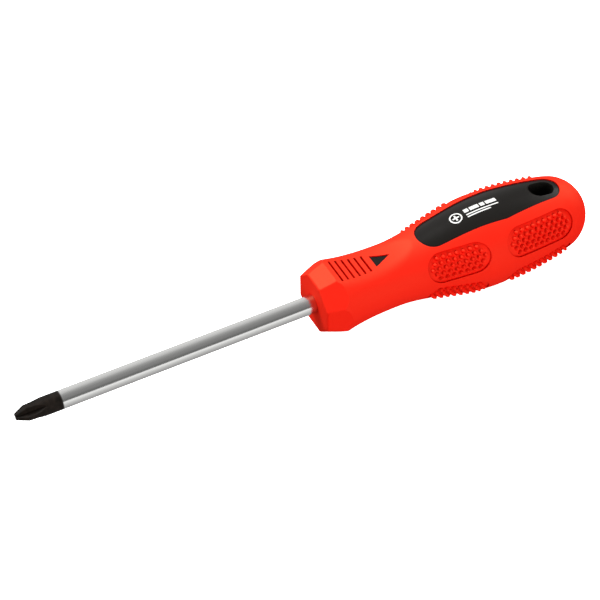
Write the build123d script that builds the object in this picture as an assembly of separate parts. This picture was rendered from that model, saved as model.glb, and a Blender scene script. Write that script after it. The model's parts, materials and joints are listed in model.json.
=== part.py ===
from build123d import *
from math import radians, sqrt, tan
import os

# A fixed-blade cross-point screwdriver, size 2 by 100, in millimetres.
# +X runs along the blade from the point to the butt, +Z is the panel side.
# The origin is where the blade's axis leaves the handle's front face.
# Four pieces are moulded round each other: the blade's tang, a plastic sleeve,
# the hard core and the soft skin. None of them moves.

# ---------------------------------------------------------------- driving sizes
# Blade
shank_r = 3.0
blade_reach = 100.0
point_flat_r = 1.15
point_half_angle = 26.5
point_shoulder_drop = 0.15
point_taper_length = 9.0
flute_angle = 92.0
flute_root_r = 0.75
flute_core_angle = 5.75
flute_straight = 6.0
flute_length = 9.5
tang_step = 0.25
wing_thickness = 2.4
wing_length = 11.0
wing_bevel = 2.5
wing_front_gap = 17.0
wing_rear_gap = 18.0

# Handle: radii at stations along the axis
handle_length = 97.7
ring_x = 6.8
ring_r = 12.1
ring_slope = -0.23
neck_x = 26.5
neck_r = 10.35
bulb_to_butt = 37.7
bulb_r = 15.25
butt_r = 12.5
butt_join_angle = 14.0

# Eight-sided nose: flats that rise from the front face and run out behind the ring
nose_sides = 8
nose_face_flat = 9.3
nose_flat_slope = 19.4
nose_edge_radius = 0.9

# Dished thumb rests, on the panel side and under it
dish_before_neck = 6.0
dish_depth = 1.7
dish_radius = 42.0
dish_rim_radius = 5.0
slot_count = 6
slot_first_lead = 12.7
slot_pitch = 2.15
slot_width = 0.7
slot_depth = 1.2
slot_first_length = 9.7
slot_last_length = 7.5
arrow_base_lag = 0.4
arrow_length = 6.0
arrow_width = 5.2
arrow_sink = 0.35
arrow_edge_radius = 0.15

# Panels of the hard core that show through the skin
panel_lead = 23.5
panel_front_r = 5.9
panel_middle_lag = 5.0
panel_middle_r = 7.2
panel_rear_r = 5.0
panel_butt_gap = 9.5
panel_sink = 0.4
panel_edge_radius = 0.25
hang_hole_length = 8.8
hang_hole_side_rim = 1.9
hang_hole_end_rim = 1.9

# Studded finger fields, sunk below the skin's surface
field_angles = (61.0, 119.0, 241.0, 299.0)
field_depth = 0.55
front_field_lead = 14.2
front_field_length = 20.6
front_field_width = 10.2
rear_field_butt_gap = 10.0
rear_field_length = 25.6
rear_field_width = 10.3

# Walls between the mouldings
skin_wall = 2.4
skin_front_wall = 3.2
core_front_wall = 3.0
core_wall_at_dish = 1.25
core_wall_at_hole = 12.9
sleeve_wall_at_wings = 2.05
sleeve_end_wall = 4.0
sleeve_end_bevel = 1.0

# Cutters run past what they cut by this much
overshoot = 2.0

# ---------------------------------------------------------------- worked-out sizes
past_skin = 2 * bulb_r
butt_centre_x = handle_length - butt_r
bulb_x = handle_length - bulb_to_butt

dish_x = neck_x - dish_before_neck
dish_h = neck_r - dish_depth
slot_first_x = dish_x - slot_first_lead
arrow_base_x = dish_x + arrow_base_lag

panel_front_x = bulb_x - panel_lead
panel_rear_x = handle_length - panel_butt_gap
hang_hole_x = panel_rear_x - hang_hole_end_rim - hang_hole_length / 2
hang_hole_width = 2 * (panel_rear_r - hang_hole_side_rim)

front_field_x = bulb_x - front_field_lead
rear_field_x = handle_length - rear_field_butt_gap - rear_field_length / 2

core_dish_drop = skin_wall - arrow_sink
sleeve_half_flats = dish_h - core_dish_drop - core_wall_at_dish
sleeve_corner_r = 2 * sleeve_half_flats / sqrt(3)
sleeve_start = skin_front_wall + core_front_wall
sleeve_end = hang_hole_x - hang_hole_length / 2 - core_wall_at_hole
tang_r = shank_r - tang_step
tang_length = sleeve_end - sleeve_end_wall
wing_half = sleeve_corner_r - sleeve_wall_at_wings
wing_places = (wing_front_gap, tang_length - wing_rear_gap)


# ---------------------------------------------------------------- shared shapes
def around_axis(shape, angle):
    return shape.rotate(Axis.X, angle)


def both_sides(shape):
    """A feature of the panel side and its copy underneath."""
    return [shape, around_axis(shape, 180)]


def flowing(start, end, start_slope, end_slope):
    """A cubic from one station to the next that leaves and arrives at the given slopes."""
    third = (end[0] - start[0]) / 3
    leave = (start[0] + third, start[1] + start_slope * third)
    arrive = (end[0] - third, end[1] - end_slope * third)
    return Bezier(start, leave, arrive, end)


def butt_point(radius, angle):
    """A point of the round butt end, at an angle from the axis."""
    arm = Vector(radius, 0).rotate(Axis.Z, angle)
    return (butt_centre_x + arm.X, arm.Y)


def handle_form(inset=0.0, front=0.0):
    """The turned form of the handle from the front plane on, with all radii less the inset."""
    join_angle = 90 - butt_join_angle
    face_top = (front, ring_r - inset)
    ring = (ring_x, ring_r - inset)
    neck = (neck_x, neck_r - inset)
    bulb = (bulb_x, bulb_r - inset)
    join = butt_point(butt_r - inset, join_angle)
    end = butt_point(butt_r - inset, 0)
    outline = [
        Line((front, 0), face_top),
        Line(face_top, ring),
        flowing(ring, neck, ring_slope, 0.0),
        flowing(neck, bulb, 0.0, 0.0),
        flowing(bulb, join, 0.0, -tan(radians(butt_join_angle))),
        ThreePointArc(join, butt_point(butt_r - inset, join_angle / 2), end),
        Line(end, (front, 0)),
    ]
    return revolve(make_face(outline), Axis.X, 360)


# ---------------------------------------------------------------- blade
def turned_blade():
    """The round bar: flat point, cone, slight taper, shank and the thinner tang."""
    tip_x = -blade_reach
    shoulder_r = shank_r - point_shoulder_drop
    shoulder_x = tip_x + (shoulder_r - point_flat_r) / tan(radians(point_half_angle))
    outline = Polyline(
        (tip_x, 0),
        (tip_x, point_flat_r),
        (shoulder_x, shoulder_r),
        (tip_x + point_taper_length, shank_r),
        (0, shank_r),
        (0, tang_r),
        (tang_length, tang_r),
        (tang_length, 0),
        close=True,
    )
    return revolve(make_face(outline), Axis.X, 360)


def flute_cutter(angle):
    """A vee swept along the root of one flute, straight at first and then curving out."""
    slope = Vector(1, 0, 0).rotate(Axis.Y, -flute_core_angle)
    tip = Vector(-blade_reach, 0, flute_root_r)
    begin = tip - slope * overshoot
    turn = tip + slope * flute_straight
    leave = Vector(-blade_reach + flute_length, 0, shank_r)
    root = Line(begin, turn) + TangentArc(turn, leave, tangent=slope)
    height = 2 * shank_r
    half = height * tan(radians(flute_angle / 2))
    vee = make_face(Polyline((0, 0), (half, height), (-half, height), close=True))
    start = Plane(origin=begin, x_dir=(0, 1, 0), z_dir=slope)
    return around_axis(sweep(start * vee, path=root), angle)


def tang_wings(x):
    """Two ears pressed out of the tang, which stop it turning in the plastic."""
    long_half = wing_length / 2
    short_half = long_half - wing_bevel
    outline = Polyline(
        (x - long_half, 0),
        (x - short_half, wing_half),
        (x + short_half, wing_half),
        (x + long_half, 0),
        (x + short_half, -wing_half),
        (x - short_half, -wing_half),
        close=True,
    )
    return extrude(make_face(outline), wing_thickness / 2, both=True)


blade = turned_blade()
for quarter in range(4):
    blade -= flute_cutter(45 + 90 * quarter)
for place in wing_places:
    blade += tang_wings(place)


# ---------------------------------------------------------------- outer form
def nose_cutters(drop=0.0):
    """Blocks whose lower faces are the sides of the nose, lowered by the drop."""
    resting = (Align.CENTER, Align.CENTER, Align.MIN)
    block = Box(2 * bulb_x, 4 * ring_r, 2 * ring_r, align=resting)
    tilted = Pos(0, 0, nose_face_flat - drop) * Rot(0, -nose_flat_slope, 0) * block
    return [around_axis(tilted, side * 360 / nose_sides) for side in range(nose_sides)]


def dish_cutter(drop=0.0):
    """A drum lying across the handle, whose underside hollows the thumb rest."""
    drum = Cylinder(dish_radius, 2 * past_skin, rotation=(90, 0, 0))
    return Pos(dish_x, 0, dish_h - drop + dish_radius) * drum


def dish_rims(form):
    """The long rims of both thumb rests: all but those that meet the nose."""
    drums = form.faces().filter_by(GeomType.CYLINDER).filter_by(
        lambda face: abs(face.radius - dish_radius) < 0.001
    )
    return drums.edges().filter_by(lambda edge: edge.length > 1.5 * slot_first_length)


outer = handle_form() - nose_cutters()
ridges_and_rim = outer.edges().filter_by(GeomType.LINE).filter_by_position(Axis.X, 0, ring_x)
outer = fillet(ridges_and_rim, nose_edge_radius)
outer -= both_sides(dish_cutter())
outer = fillet(dish_rims(outer), dish_rim_radius)


# ---------------------------------------------------------------- tang sleeve
sleeve_section = RegularPolygon(sleeve_half_flats, 6, major_radius=False)
sleeve_form = extrude(Plane.YZ.offset(sleeve_start) * sleeve_section, sleeve_end - sleeve_start)
sleeve_end_face = sleeve_form.faces().sort_by(Axis.X)[-1]
sleeve_form = chamfer(sleeve_end_face.edges(), sleeve_end_bevel)
tang_sleeve = sleeve_form - blade


# ---------------------------------------------------------------- hard core
def arrow_outline():
    half = arrow_width / 2
    tip = arrow_base_x + arrow_length
    return make_face(Polyline((arrow_base_x, half), (tip, 0), (arrow_base_x, -half), close=True))


def panel_outline():
    """Round ends and a wider middle, joined by their common tangents."""
    front = Pos(panel_front_x + panel_front_r, 0) * Circle(panel_front_r)
    middle = Pos(bulb_x + panel_middle_lag, 0) * Circle(panel_middle_r)
    rear = Pos(panel_rear_x - panel_rear_r, 0) * Circle(panel_rear_r)
    return make_hull(front.edges() + middle.edges() + rear.edges())


def pad(outline, sink, edge_radius):
    """The part of the core that fills a window of the skin, with its rim rounded."""
    body = extrude(outline, past_skin) & outer.translate((0, 0, -sink))
    rim = body.faces().sort_by(Axis.Z)[-1].edges()
    return fillet(rim, edge_radius)


hang_hole_section = Pos(hang_hole_x, 0, 0) * SlotOverall(hang_hole_length, hang_hole_width)
hang_hole = extrude(hang_hole_section, past_skin, both=True)
core_form = handle_form(inset=skin_wall, front=skin_front_wall)
core_form -= nose_cutters(drop=skin_wall)
core_form -= both_sides(dish_cutter(drop=core_dish_drop))
core_form += both_sides(pad(panel_outline(), panel_sink, panel_edge_radius))
core_form += both_sides(pad(arrow_outline(), arrow_sink, arrow_edge_radius))
core_form -= hang_hole
handle_core = core_form - sleeve_form - blade


# ---------------------------------------------------------------- soft skin
def slot_cutter(index):
    """A thin plate across the handle that sinks one thumb slot to an even depth."""
    share = index / (slot_count - 1)
    length = slot_first_length + (slot_last_length - slot_first_length) * share
    x = slot_first_x + slot_pitch * index
    rise = dish_radius - sqrt(dish_radius**2 - (x - dish_x) ** 2)
    standing = (Align.CENTER, Align.CENTER, Align.MIN)
    plate = Box(slot_width, length, past_skin, align=standing)
    return Pos(x, 0, dish_h + rise - slot_depth) * plate


def field_cutter(x, length, width, angle):
    """One finger field: a stadium seen along the radius, sunk to an even depth."""
    column = Pos(x, 0, 0) * extrude(SlotOverall(length, width), past_skin)
    return around_axis(column, angle) - field_floor


field_floor = handle_form(inset=field_depth)
grip_skin = outer - core_form - hang_hole - blade
for outline in (panel_outline(), arrow_outline()):
    grip_skin -= both_sides(extrude(outline, past_skin))
for index in range(slot_count):
    grip_skin -= both_sides(slot_cutter(index))
for angle in field_angles:
    grip_skin -= field_cutter(front_field_x, front_field_length, front_field_width, angle)
    grip_skin -= field_cutter(rear_field_x, rear_field_length, rear_field_width, angle)


# ---------------------------------------------------------------- files
os.makedirs("parts", exist_ok=True)
nodes = {
    "blade": blade,
    "tang_sleeve": tang_sleeve,
    "handle_core": handle_core,
    "grip_skin": grip_skin,
}
for name, node in nodes.items():
    export_step(node, f"parts/{name}.step")
    print(name, len(node.solids()), round(node.volume, 1), node.is_valid)
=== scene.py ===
"""The looks of a fixed-blade cross-point screwdriver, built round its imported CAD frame.

+X runs along the blade from the point to the butt, +Z is the panel side, and the
origin is where the blade's axis leaves the handle's front face. Lengths are metres.
"""

from __future__ import annotations

import json
import logging
import math
from dataclasses import dataclass
from enum import Enum

import bpy
import numpy as np
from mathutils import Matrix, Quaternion, Vector

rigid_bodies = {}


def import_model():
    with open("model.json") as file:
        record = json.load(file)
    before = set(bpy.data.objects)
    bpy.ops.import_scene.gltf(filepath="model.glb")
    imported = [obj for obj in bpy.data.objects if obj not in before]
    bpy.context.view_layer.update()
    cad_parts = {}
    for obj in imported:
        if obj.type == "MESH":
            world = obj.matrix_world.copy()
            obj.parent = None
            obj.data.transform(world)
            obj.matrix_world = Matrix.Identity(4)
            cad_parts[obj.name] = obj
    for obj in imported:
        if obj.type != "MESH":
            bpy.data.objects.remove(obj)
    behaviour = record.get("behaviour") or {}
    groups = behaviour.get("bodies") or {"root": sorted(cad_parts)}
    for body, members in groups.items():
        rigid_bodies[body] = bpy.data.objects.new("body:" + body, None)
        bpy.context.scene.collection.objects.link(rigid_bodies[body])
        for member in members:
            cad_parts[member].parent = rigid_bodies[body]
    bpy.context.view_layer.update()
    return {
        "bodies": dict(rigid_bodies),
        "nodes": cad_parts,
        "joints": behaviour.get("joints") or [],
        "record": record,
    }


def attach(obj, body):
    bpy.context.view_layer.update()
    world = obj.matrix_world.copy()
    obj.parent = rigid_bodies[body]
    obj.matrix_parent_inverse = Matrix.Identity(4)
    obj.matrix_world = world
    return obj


LOG = logging.getLogger("screwdriver")
MM = 0.001
GRAIN_DETAIL = 2.0
GRAIN_STRENGTH = 0.5

Points = np.ndarray


# ---------------------------------------------------------------- colour and nodes
def linear(code: str) -> tuple[float, float, float, float]:
    """Turns an sRGB hex code into a linear colour.

    Args:
        code: Six hex digits, red first.

    Returns:
        Linear red, green, blue and an alpha of one.
    """
    srgb = np.array([int(code[i : i + 2], 16) for i in (0, 2, 4)]) / 255
    low = srgb / 12.92
    high = ((srgb + 0.055) / 1.055) ** 2.4
    red, green, blue = np.where(srgb <= 0.04045, low, high).tolist()
    return (red, green, blue, 1.0)


class NodeGraph:
    """A material's or world's node tree, with one short way to add to it."""

    def __init__(self, tree: bpy.types.NodeTree) -> None:
        """Empties the tree.

        Args:
            tree: The node tree to fill.
        """
        tree.nodes.clear()
        self.tree = tree

    def add(self, kind: str, inputs: dict | None = None, **settings) -> bpy.types.Node:
        """Adds one node.

        Args:
            kind: The node's type without its "ShaderNode" prefix.
            inputs: A value, or an output socket to link, for each input by name or index.
            **settings: Properties of the node itself.

        Returns:
            The new node.
        """
        node = self.tree.nodes.new(f"ShaderNode{kind}")
        for name, value in settings.items():
            setattr(node, name, value)
        for name, value in (inputs or {}).items():
            if isinstance(value, bpy.types.NodeSocket):
                self.tree.links.new(value, node.inputs[name])
            else:
                node.inputs[name].default_value = value
        return node

    def ramp(
        self, factor: bpy.types.NodeSocket, stops: list[tuple[float, tuple]]
    ) -> bpy.types.NodeSocket:
        """Adds a colour ramp.

        Args:
            factor: What it reads.
            stops: Position and colour of each stop, in rising order.

        Returns:
            The ramp's colour output.
        """
        node = self.add("ValToRGB", {"Fac": factor})
        while len(node.color_ramp.elements) < len(stops):
            node.color_ramp.elements.new(1.0)
        for element, (place, colour) in zip(node.color_ramp.elements, stops):
            element.position = place
            element.color = colour
        return node.outputs["Color"]

    def satin(self, place: bpy.types.NodeSocket, size: float, depth: float) -> bpy.types.NodeSocket:
        """Adds the fine grain of an eroded mould: soft noise that tilts the surface a little.

        Args:
            place: The place on the object.
            size: How wide a grain is.
            depth: How deep it is.

        Returns:
            The tilted normal.
        """
        grain = self.add("TexNoise", {"Vector": place, "Scale": 1 / size, "Detail": GRAIN_DETAIL})
        bump = self.add(
            "Bump",
            {"Height": grain.outputs["Fac"], "Strength": GRAIN_STRENGTH, "Distance": depth},
        )
        return bump.outputs["Normal"]


# ---------------------------------------------------------------- finishes
class Slot(Enum):
    """The record's material slots."""

    STEEL = "polished_steel"
    SLEEVE = "sleeve_plastic"
    CORE = "core_plastic"
    RUBBER = "grip_rubber"
    INK = "print_ink"


def new_material(name: str) -> tuple[bpy.types.Material, NodeGraph]:
    """Makes an empty node material.

    Args:
        name: The material's name.

    Returns:
        The material and its node graph.
    """
    material = bpy.data.materials.new(name)
    material.use_nodes = True
    return material, NodeGraph(material.node_tree)


@dataclass(frozen=True)
class GripRubber:
    """Red thermoplastic rubber as moulded on tool grips: Shore 70 A, fine eroded satin.

    It gives the eye a deep, even red with hardly any gloss and a warm pale bloom on the
    open faces. In slots and between studs it has painted shade: an occlusion mask darkens
    the red there and fades the bloom out. The real grain is about a tenth of a millimetre; it is
    drawn at a quarter of one so that it shows.
    """

    colour: str = "F00200"
    # Painted shade: the darker red that the occlusion mask lays into slots and between studs.
    recess_shade: str = "BE0200"
    recess_reach: float = 1.6 * MM
    recess_rays: int = 8
    recess_shut: float = 0.15
    recess_open: float = 0.88
    bloom: str = "FFC08C"
    bloom_share: float = 0.095
    roughness: float = 0.52
    bloom_roughness: float = 0.66
    grain: float = 0.25 * MM
    grain_depth: float = 0.003 * MM

    def build(self) -> bpy.types.Material:
        """Makes the material.

        Returns:
            The rubber.
        """
        material, graph = new_material("grip_rubber")
        place = graph.add("TexCoord").outputs["Object"]
        normal = graph.satin(place, self.grain, self.grain_depth)
        # Painted shade: an occlusion measure darkens the red in slots and between studs, and
        # through the map below fades the bloom there.
        open_air = graph.add(
            "AmbientOcclusion", {"Distance": self.recess_reach}, samples=self.recess_rays
        )
        red = graph.ramp(
            open_air.outputs["AO"],
            [(self.recess_shut, linear(self.recess_shade)), (self.recess_open, linear(self.colour))],
        )
        rubber = graph.add(
            "BsdfPrincipled",
            {
                "Base Color": red,
                "Roughness": self.roughness,
                "Specular IOR Level": 0.0,
                "Normal": normal,
            },
        )
        bloom = graph.add(
            "BsdfPrincipled",
            {
                "Base Color": linear(self.bloom),
                "Metallic": 1.0,
                "Roughness": self.bloom_roughness,
                "Normal": normal,
            },
        )
        # Painted shade: the bloom's share falls to nothing where the occlusion mask finds a recess.
        share = graph.add(
            "MapRange",
            {
                "Value": open_air.outputs["AO"],
                "From Min": self.recess_shut,
                "From Max": self.recess_open,
                "To Max": self.bloom_share,
            },
        )
        surface = graph.add(
            "MixShader",
            {0: share.outputs["Result"], 1: rubber.outputs["BSDF"], 2: bloom.outputs["BSDF"]},
        )
        graph.add("OutputMaterial", {"Surface": surface.outputs["Shader"]})
        return material


@dataclass(frozen=True)
class Moulding:
    """Injection-moulded polypropylene with a faint satin grain, or flat pad-printed ink.

    It gives the eye one plain colour with a wide, weak highlight. The real grain is under
    a tenth of a millimetre; it is drawn coarser so that it softens the highlight.
    """

    name: str
    colour: str
    roughness: float = 0.4
    specular: float = 0.5
    grain: float = 0.18 * MM
    grain_depth: float = 0.002 * MM

    def build(self) -> bpy.types.Material:
        """Makes the material.

        Returns:
            The plastic or the ink.
        """
        material, graph = new_material(self.name)
        place = graph.add("TexCoord").outputs["Object"]
        surface = graph.add(
            "BsdfPrincipled",
            {
                "Base Color": linear(self.colour),
                "Roughness": self.roughness,
                "Specular IOR Level": self.specular,
                "Normal": graph.satin(place, self.grain, self.grain_depth),
            },
        )
        graph.add("OutputMaterial", {"Surface": surface.outputs["BSDF"]})
        return material


@dataclass(frozen=True)
class BladeSteel:
    """Chrome-vanadium bar: bright nickel-chrome plate, and black oxide on the point.

    The plate gives the eye clear, slightly soft bands of light along the bar, broken by
    the faint lines of drawing. Those are some hundredths of a millimetre apart. The
    oxide is a dull brownish black with a weak mottle.
    """

    plate: str = "D8D8D6"
    plate_roughness: float = 0.16
    smoother: float = 0.9
    rougher: float = 1.12
    oxide: str = "15120F"
    oxide_rubbed: str = "221C18"
    mottle: float = 1.5 * MM
    mottle_detail: float = 4.0
    mottle_range: tuple[float, float] = (0.35, 0.75)
    oxide_roughness: float = 0.5
    oxide_specular: float = 0.06
    oxide_ends: float = -85.5 * MM
    edge_width: float = 0.25 * MM
    drawn_pitch: float = 0.05 * MM
    drawn_length: float = 12 * MM
    drawn_range: tuple[float, float] = (0.3, 0.7)

    def build(self) -> bpy.types.Material:
        """Makes the material: the plate and the oxide, parted across the bar.

        Returns:
            The steel.
        """
        material, graph = new_material("blade_steel")
        place = graph.add("TexCoord").outputs["Object"]
        across = 1 / self.drawn_pitch
        stretched = graph.add(
            "Mapping", {"Vector": place, "Scale": (1 / self.drawn_length, across, across)}
        )
        lines = graph.add("TexNoise", {"Vector": stretched.outputs["Vector"], "Scale": 1.0})
        rough = graph.add(
            "MapRange",
            {
                "Value": lines.outputs["Fac"],
                "From Min": self.drawn_range[0],
                "From Max": self.drawn_range[1],
                "To Min": self.smoother * self.plate_roughness,
                "To Max": self.rougher * self.plate_roughness,
            },
        )
        plate = graph.add(
            "BsdfPrincipled",
            {
                "Base Color": linear(self.plate),
                "Metallic": 1.0,
                "Roughness": rough.outputs["Result"],
            },
        )
        mottle = graph.add(
            "TexNoise",
            {"Vector": place, "Scale": 1 / self.mottle, "Detail": self.mottle_detail},
        )
        black = graph.ramp(
            mottle.outputs["Fac"],
            list(zip(self.mottle_range, (linear(self.oxide), linear(self.oxide_rubbed)))),
        )
        oxide = graph.add(
            "BsdfPrincipled",
            {
                "Base Color": black,
                "Specular IOR Level": self.oxide_specular,
                "Roughness": self.oxide_roughness,
            },
        )
        axis = graph.add("SeparateXYZ", {"Vector": place})
        part = graph.add(
            "MapRange",
            {
                "Value": axis.outputs["X"],
                "From Min": self.oxide_ends - self.edge_width,
                "From Max": self.oxide_ends + self.edge_width,
            },
            interpolation_type="SMOOTHSTEP",
        )
        surface = graph.add(
            "MixShader",
            {0: part.outputs["Result"], 1: oxide.outputs["BSDF"], 2: plate.outputs["BSDF"]},
        )
        graph.add("OutputMaterial", {"Surface": surface.outputs["Shader"]})
        return material


# ---------------------------------------------------------------- meshes
class MeshPiece:
    """Builds one named mesh object from arrays and hangs it on the frame's one body."""

    def __init__(self, name: str, slot: Slot, material: bpy.types.Material) -> None:
        """Names the piece.

        Args:
            name: The object's name.
            slot: The record's slot that its finish stands for; kept, but not used.
            material: The finish.
        """
        self.name = name
        self.slot = slot
        self.material = material

    def place(self, points: Points, faces: list[np.ndarray]) -> bpy.types.Object:
        """Makes the object and lets it ride on the frame's one body.

        Args:
            points: Vertices as rows, in metres, in the frame.
            faces: Arrays of vertex numbers, one row for each face.

        Returns:
            The new object.
        """
        mesh = bpy.data.meshes.new(self.name)
        rows = [row for block in faces for row in block.tolist()]
        mesh.from_pydata(points.tolist(), [], rows)
        mesh.polygons.foreach_set("use_smooth", np.full(len(rows), True))
        mesh.materials.append(self.material)
        mesh.update()
        piece = bpy.data.objects.new(self.name, mesh)
        bpy.context.scene.collection.objects.link(piece)
        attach(piece, "root")
        LOG.info("%s: %d faces", self.name, len(rows))
        return piece


@dataclass
class HandleForm:
    """The turned form of the handle: radii at stations along the axis, joined by cubics."""

    ring_x: float = 6.8 * MM
    ring_r: float = 12.1 * MM
    ring_slope: float = -0.23
    neck_x: float = 26.5 * MM
    neck_r: float = 10.35 * MM
    bulb_x: float = 60.0 * MM
    bulb_r: float = 15.25 * MM
    butt_x: float = 85.2 * MM
    butt_r: float = 12.5 * MM
    join_angle: float = math.radians(14.0)
    slope_step: float = 0.01 * MM

    def stations(self) -> np.ndarray:
        """Lists the stations.

        Returns:
            Rows of axial place, radius and slope.
        """
        join = (
            self.butt_x + self.butt_r * math.sin(self.join_angle),
            self.butt_r * math.cos(self.join_angle),
            -math.tan(self.join_angle),
        )
        return np.array(
            [
                (self.ring_x, self.ring_r, self.ring_slope),
                (self.neck_x, self.neck_r, 0.0),
                (self.bulb_x, self.bulb_r, 0.0),
                join,
            ]
        )

    def radius(self, x: Points) -> Points:
        """The form's radius: a cubic with the right radius and slope at both of its stations.

        Args:
            x: Places along the axis.

        Returns:
            The radius at each place.
        """
        rows = self.stations()
        index = np.clip(np.searchsorted(rows[:, 0], x) - 1, 0, len(rows) - 2)
        start, end = rows[index], rows[index + 1]
        span = end[..., 0] - start[..., 0]
        t = (x - start[..., 0]) / span
        from_start = (1 + 2 * t) * (1 - t) ** 2 * start[..., 1]
        from_end = t**2 * (3 - 2 * t) * end[..., 1]
        leaving = t * (1 - t) ** 2 * span * start[..., 2]
        arriving = t**2 * (t - 1) * span * end[..., 2]
        return from_start + from_end + leaving + arriving

    def slope(self, x: Points) -> Points:
        """How fast the radius grows along the axis, from two close radii.

        Args:
            x: Places along the axis.

        Returns:
            The slope at each place.
        """
        step = self.slope_step
        return (self.radius(x + step) - self.radius(x - step)) / (2 * step)


@dataclass
class StudField:
    """One sunk finger field's studs: small blunt cones in staggered rows."""

    name: str
    centre: float
    length: float
    width: float
    angle: float
    form: HandleForm
    sink: float = 0.55 * MM
    pitch: float = 2.15 * MM
    row_gap: float = 1.65 * MM
    rim: float = 1.05 * MM
    rise: float = 1.15 * MM
    foot_r: float = 0.72 * MM
    top_r: float = 0.42 * MM
    root: float = 0.2 * MM
    root_flare: float = 1.05
    foot_height: float = 0.1 * MM
    dome_turns: tuple[float, float] = (20.0, 50.0)
    dome_flatness: float = 0.6
    segments: int = 12

    def places(self) -> Points:
        """Where the studs stand, seen along the field's own radius.

        Returns:
            Rows of place along the axis and place across it.
        """
        across = int(self.width / self.row_gap) + 2
        along = int(self.length / self.pitch) + 2
        row, column = np.meshgrid(np.arange(-across, across + 1), np.arange(-along, along + 1))
        x = (column + 0.5 * (row % 2)) * self.pitch
        w = row * self.row_gap
        half = self.length / 2 - self.width / 2
        past = np.hypot(np.maximum(np.abs(x) - half, 0), w)
        kept = past < self.width / 2 - self.rim
        return np.stack([x[kept] + self.centre, w[kept]], axis=1)

    def frames(self, places: Points) -> tuple[Points, Points, Points, Points]:
        """The point on the field's floor under each stud, and its three directions.

        Args:
            places: Rows of place along the axis and across it.

        Returns:
            Foot points, directions along the handle, across it and outwards.
        """
        x, w = places.T
        radius = self.form.radius(x) - self.sink
        up = np.array([0.0, -math.sin(self.angle), math.cos(self.angle)])
        side = np.array([0.0, -math.cos(self.angle), -math.sin(self.angle)])
        radial = (w[:, None] * side + np.sqrt(radius**2 - w**2)[:, None] * up) / radius[:, None]
        foot = radial * radius[:, None]
        foot[:, 0] = x
        out = radial.copy()
        out[:, 0] = -self.form.slope(x)
        out /= np.linalg.norm(out, axis=1, keepdims=True)
        across = np.cross(out, np.array([1.0, 0.0, 0.0]))
        across /= np.linalg.norm(across, axis=1, keepdims=True)
        along = np.cross(across, out)
        return foot, along, across, out

    def profile(self) -> Points:
        """One stud's outline from under its foot to its top: a cone that ends in a small dome.

        Returns:
            Rows of radius and height; the first and last lie on the stud's axis.
        """
        turn = np.radians(self.dome_turns)
        drop = self.top_r * self.dome_flatness * (1 - np.sin(turn))
        dome = np.stack([self.top_r * np.cos(turn), self.rise - drop], axis=1)
        return np.array(
            [
                (0.0, -self.root),
                (self.root_flare * self.foot_r, -self.root),
                (self.foot_r, self.foot_height),
                *dome,
                (0.0, self.rise),
            ]
        )

    def build(self, material: bpy.types.Material) -> bpy.types.Object:
        """Makes all the field's studs at once: rings of the outline, turned round each stud's axis.

        Args:
            material: The rubber.

        Returns:
            The field's studs as one object.
        """
        foot, along, across, out = self.frames(self.places())
        outline = self.profile()
        turn = np.linspace(0, 2 * math.pi, self.segments, endpoint=False)
        rings = outline[1:-1]
        spread = (
            np.cos(turn)[None, None, :, None] * along[:, None, None, :]
            + np.sin(turn)[None, None, :, None] * across[:, None, None, :]
        ) * rings[None, :, None, 0:1]
        lifted = rings[None, :, None, 1:2] * out[:, None, None, :]
        body = foot[:, None, None, :] + spread + lifted
        poles = foot[:, None, :] + outline[[0, -1], 1][None, :, None] * out[:, None, :]
        points = np.concatenate([body.reshape(len(foot), -1, 3), poles], axis=1)
        faces = self.faces(len(foot), len(rings))
        return MeshPiece(self.name, Slot.RUBBER, material).place(points.reshape(-1, 3), faces)

    def faces(self, studs: int, rings: int) -> list[np.ndarray]:
        """Numbers the corners of every stud's faces.

        Args:
            studs: How many studs there are.
            rings: How many rings each has.

        Returns:
            The side faces and the two fans that close each stud.
        """
        each = rings * self.segments + 2
        start = (np.arange(studs) * each)[:, None, None]
        ring = np.arange(rings - 1)[None, :, None] * self.segments
        here = np.arange(self.segments)[None, None, :]
        there = (here + 1) % self.segments
        above = ring + self.segments
        corners = (ring + there, ring + here, above + here, above + there)
        sides = np.stack([start + corner for corner in corners], axis=-1)
        last = (rings - 1) * self.segments
        under = np.stack(np.broadcast_arrays(start + here, start + there, start + each - 2), -1)
        top = np.stack(
            np.broadcast_arrays(start + last + there, start + last + here, start + each - 1), -1
        )
        return [sides.reshape(-1, 4), under.reshape(-1, 3), top.reshape(-1, 3)]


@dataclass
class Grip:
    """The soft skin: the CAD moulding and the studs in its eight finger fields."""

    node: bpy.types.Object
    form: HandleForm
    degrees: tuple[int, ...] = (61, 119, 241, 299)
    front: tuple[float, float, float] = (45.8 * MM, 20.6 * MM, 10.2 * MM)
    rear: tuple[float, float, float] = (74.9 * MM, 25.6 * MM, 10.3 * MM)

    def fields(self) -> list[StudField]:
        """The eight fields: a front one and a rear one (centre, length, width) at each angle.

        Returns:
            The fields.
        """
        made = []
        for degrees in self.degrees:
            for row, (centre, length, width) in (("front", self.front), ("rear", self.rear)):
                name = f"studs_{row}_{degrees}"
                angle = math.radians(degrees)
                made.append(StudField(name, centre, length, width, angle, self.form))
        return made

    def build(self, finish: GripRubber) -> None:
        """Paints the moulding and adds the studs.

        Args:
            finish: The rubber.
        """
        material = finish.build()
        paint(self.node, material)
        for studs in self.fields():
            studs.build(material)


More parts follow.
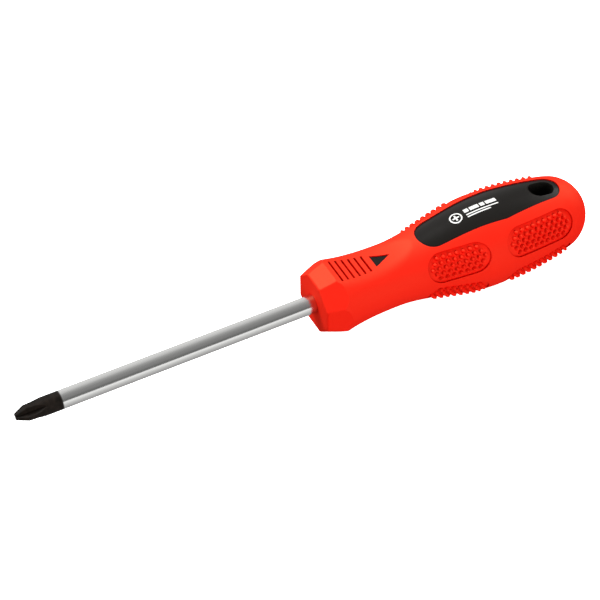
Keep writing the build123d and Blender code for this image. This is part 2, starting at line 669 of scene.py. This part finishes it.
@dataclass
class PanelPrint:
    """A plain white mark on the panel: a ring round a cross, and bars beside it.

    Each bar is its start, its end, its middle across the handle and its width.
    """

    form: HandleForm
    sink: float = 0.4 * MM
    ink: float = 0.015 * MM
    ring_x: float = 50.6 * MM
    ring_r: float = 2.1 * MM
    ring_width: float = 0.45 * MM
    cross_r: float = 1.15 * MM
    cross_width: float = 0.55 * MM
    ring_steps: int = 48
    block_steps: tuple[int, int] = (9, 4)
    bars_mm: tuple[tuple[float, float, float, float], ...] = (
        (54.0, 55.6, 1.0, 1.5),
        (56.1, 59.3, 1.0, 1.5),
        (59.8, 61.4, 1.0, 1.5),
        (61.9, 65.6, 1.0, 1.5),
        (54.0, 65.6, -0.75, 0.45),
        (54.0, 62.4, -1.65, 0.45),
    )

    def lifted(self, x: Points, y: Points) -> Points:
        """Lays flat places on the panel's crown: a circle arc across, lowered by the sink.

        Args:
            x: Places along the axis.
            y: Places across it.

        Returns:
            Points as rows.
        """
        z = np.sqrt(self.form.radius(x) ** 2 - y**2) - self.sink + self.ink
        return np.stack([x, y, z], axis=-1)

    def patch(
        self, x: Points, y: Points, start: int, closed: bool = False
    ) -> tuple[Points, np.ndarray]:
        """Turns two grids of places into points and faces.

        Args:
            x: Places along the axis, as a grid.
            y: Places across it, as a grid.
            start: The number of the first point.
            closed: Whether the last row of the grid joins the first.

        Returns:
            Points as rows and faces as rows of four.
        """
        number = start + np.arange(x.size).reshape(x.shape)
        if closed:
            number = np.concatenate([number, number[:1]])
        corners = [number[:-1, :-1], number[1:, :-1], number[1:, 1:], number[:-1, 1:]]
        faces = np.stack(corners, axis=-1).reshape(-1, 4)
        return self.lifted(x, y).reshape(-1, 3), faces

    def block(self, x0: float, x1: float, y: float, width: float) -> tuple[Points, Points]:
        """A bar's grid.

        Args:
            x0: Where it starts.
            x1: Where it ends.
            y: Its middle across the handle.
            width: Its width.

        Returns:
            The grids of places along and across.
        """
        along, across = self.block_steps
        return np.meshgrid(
            np.linspace(x0, x1, along),
            np.linspace(y - width / 2, y + width / 2, across),
            indexing="ij",
        )

    def build(self, material: bpy.types.Material) -> bpy.types.Object:
        """Makes the whole mark as one object.

        Args:
            material: The ink.

        Returns:
            The mark.
        """
        turn, radius = np.meshgrid(
            np.linspace(0, 2 * math.pi, self.ring_steps, endpoint=False),
            np.array([self.ring_r, self.ring_r - self.ring_width]),
            indexing="ij",
        )
        half, arm = self.cross_width / 2, self.cross_r
        grids = [(self.ring_x + radius * np.cos(turn), radius * np.sin(turn))]
        grids.append(self.block(self.ring_x - arm, self.ring_x + arm, 0.0, self.cross_width))
        for side in (-1, 1):
            middle = side * (half + arm) / 2
            grids.append(self.block(self.ring_x - half, self.ring_x + half, middle, arm - half))
        for bar in self.bars_mm:
            grids.append(self.block(*(value * MM for value in bar)))
        points, faces, count = [], [], 0
        for x, y in grids:
            some, rows = self.patch(x, y, count, closed=count == 0)
            points.append(some)
            faces.append(rows)
            count += len(some)
        piece = MeshPiece("panel_print", Slot.INK, material)
        return piece.place(np.concatenate(points), faces)


def paint(node: bpy.types.Object, material: bpy.types.Material) -> None:
    """Gives a CAD node its finish.

    Args:
        node: The CAD node.
        material: The finish.
    """
    node.data.materials.clear()
    node.data.materials.append(material)
    LOG.info("%s: finish %s", node.name, material.name)


# ---------------------------------------------------------------- studio
@dataclass(frozen=True)
class SoftBox:
    """A square area light that faces the object from one direction."""

    name: str
    direction: tuple[float, float, float]
    distance: float
    side: float
    power: float
    mirrored: bool = True

    def build(self) -> None:
        """Makes the light; one that isn't mirrored only fills the shade."""
        data = bpy.data.lights.new(self.name, "AREA")
        data.size = self.side
        data.energy = self.power
        light = bpy.data.objects.new(self.name, data)
        towards = Vector(self.direction).normalized()
        light.location = towards * self.distance
        light.rotation_mode = "QUATERNION"
        light.rotation_quaternion = towards.to_track_quat("Z", "Y")
        light.visible_glossy = self.mirrored
        bpy.context.scene.collection.objects.link(light)


@dataclass
class Studio:
    """A pale floor, a soft room in bands of grey round the handle, and four soft boxes.

    Levels are the room's brightness at angles in degrees round the handle, where 0 is
    straight up, minus is behind the tool and plus before it. The room is at full level
    only in a strip across the blade, given by the direction's part along +X; outside
    it, it is dimmed.
    """

    azimuth: float = -27.3
    elevation: float = 45.8
    roll: float = -0.56
    distance: float = 0.7095
    lens: float = 136.8
    shift: tuple[float, float] = (-0.0222, 0.0058)
    floor_z: float = -15.6 * MM
    floor_half: float = 4.0
    floor_glow: float = 1.0
    floor_paper: str = "FAFAFA"
    sensor: float = 36.0
    clip: tuple[float, float] = (0.01, 50.0)
    gain: float = 4.0
    dim: float = 0.4
    strip: tuple[float, ...] = (0.0, 0.12, 0.4, 0.52)
    levels: tuple[tuple[float, float], ...] = (
        (-180, 0.40),
        (-130, 0.72),
        (-72, 0.95),
        (-36, 0.72),
        (-8, 0.45),
        (18, 0.33),
        (42, 0.28),
        (66, 0.20),
        (76, 0.20),
        (80, 1.30),
        (90, 1.15),
        (104, 0.95),
        (120, 0.75),
        (156, 0.50),
        (180, 0.40),
    )
    boxes: tuple[SoftBox, ...] = (
        SoftBox("key", (-0.34, 0.5, 0.75), 1.0, 0.5, 11.0),
        SoftBox("rear", (0.9, 0.25, 0.45), 1.0, 0.4, 4.0),
        SoftBox("side", (0.2, -0.85, 0.25), 1.0, 0.6, 7.2, mirrored=False),
        SoftBox("front", (-0.9, -0.4, 0.3), 1.0, 0.6, 3.4, mirrored=False),
    )

    def camera(self) -> None:
        """Makes the camera, turned round the origin and looking at it."""
        data = bpy.data.cameras.new("camera")
        data.sensor_width = self.sensor
        data.lens = self.lens
        data.shift_x, data.shift_y = self.shift
        data.clip_start, data.clip_end = self.clip
        camera = bpy.data.objects.new("camera", data)
        a, e = math.radians(self.azimuth), math.radians(self.elevation)
        back = Vector((math.sin(a) * math.cos(e), -math.cos(a) * math.cos(e), math.sin(e)))
        roll = Quaternion((0, 0, 1), math.radians(self.roll))
        camera.rotation_mode = "QUATERNION"
        camera.rotation_quaternion = back.to_track_quat("Z", "Y") @ roll
        camera.location = back * self.distance
        bpy.context.scene.collection.objects.link(camera)
        bpy.context.scene.camera = camera

    def floor(self) -> None:
        """Makes a plain pale floor that the object doesn't mirror."""
        corners = ((-1, -1), (1, -1), (1, 1), (-1, 1))
        points = [(x * self.floor_half, y * self.floor_half, self.floor_z) for x, y in corners]
        mesh = bpy.data.meshes.new("floor")
        mesh.from_pydata(points, [], [(0, 1, 2, 3)])
        material, graph = new_material("floor")
        paper = graph.add("BsdfDiffuse", {"Color": linear(self.floor_paper)})
        glow = graph.add("Emission", {"Color": linear("FFFFFF"), "Strength": self.floor_glow})
        surface = graph.add("AddShader", {0: paper.outputs["BSDF"], 1: glow.outputs["Emission"]})
        graph.add("OutputMaterial", {"Surface": surface.outputs["Shader"]})
        mesh.materials.append(material)
        floor = bpy.data.objects.new("floor", mesh)
        floor.visible_glossy = False
        floor.visible_diffuse = False
        floor.visible_shadow = False
        bpy.context.scene.collection.objects.link(floor)

    def grey(self, level: float) -> tuple[float, float, float, float]:
        """A ramp's colour for a level; the background multiplies it by the gain again."""
        return (level / self.gain, level / self.gain, level / self.gain, 1.0)

    def room(self) -> None:
        """Lights the world by the angle round the handle's axis, brightest across the blade."""
        world = bpy.data.worlds.new("room")
        world.use_nodes = True
        graph = NodeGraph(world.node_tree)
        axis = graph.add("SeparateXYZ", {"Vector": graph.add("TexCoord").outputs["Generated"]})
        before = graph.add("Math", {0: axis.outputs["Y"], 1: -1.0}, operation="MULTIPLY")
        turn = graph.add(
            "Math", {0: before.outputs[0], 1: axis.outputs["Z"]}, operation="ARCTAN2"
        )
        share = graph.add(
            "MapRange",
            {"Value": turn.outputs[0], "From Min": -math.pi, "From Max": math.pi},
        )
        bands = graph.ramp(
            share.outputs["Result"],
            [((degrees + 180) / 360, self.grey(level)) for degrees, level in self.levels],
        )
        along = graph.add("MapRange", {"Value": axis.outputs["X"], "From Min": -1.0})
        shades = (self.dim, 1.0, 1.0, self.dim)
        strip = graph.ramp(
            along.outputs["Result"],
            [((x + 1) / 2, (v, v, v, 1.0)) for x, v in zip(self.strip, shades)],
        )
        lit = graph.add(
            "MixRGB", {"Fac": 1.0, "Color1": bands, "Color2": strip}, blend_type="MULTIPLY"
        )
        back = graph.add("Background", {"Color": lit.outputs["Color"], "Strength": self.gain})
        graph.add("OutputWorld", {"Surface": back.outputs["Background"]})
        bpy.context.scene.world = world

    def build(self) -> None:
        """Makes the camera, the floor and the light."""
        self.camera()
        self.floor()
        self.room()
        for box in self.boxes:
            box.build()
            LOG.info("light %s: %.1f W", box.name, box.power)
        bpy.context.scene.view_settings.view_transform = "Standard"


# ---------------------------------------------------------------- the screwdriver
class Screwdriver:
    """The CAD frame's four pieces with their finishes, the studs and the print."""

    def __init__(self, frame: dict) -> None:
        """Keeps the frame.
        """
        self.nodes = frame["nodes"]
        self.form = HandleForm()

    def build(self) -> None:
        """Paints and adds every piece."""
        paint(self.nodes["blade"], BladeSteel().build())
        sleeve = Moulding("sleeve_plastic", "C4C2BC").build()
        paint(self.nodes["tang_sleeve"], sleeve)
        core = Moulding("core_plastic", "1A1816", roughness=0.33, specular=0.13).build()
        paint(self.nodes["handle_core"], core)
        Grip(self.nodes["grip_skin"], self.form).build(GripRubber())
        ink = Moulding("print_ink", "EDEDEA", roughness=0.55).build()
        PanelPrint(self.form).build(ink)


def main() -> None:
    """Loads the frame and builds the looks round it."""
    logging.basicConfig(level=logging.INFO, format="%(name)s %(message)s")
    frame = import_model()
    Screwdriver(frame).build()
    Studio().build()


if __name__ == "__main__":
    main()
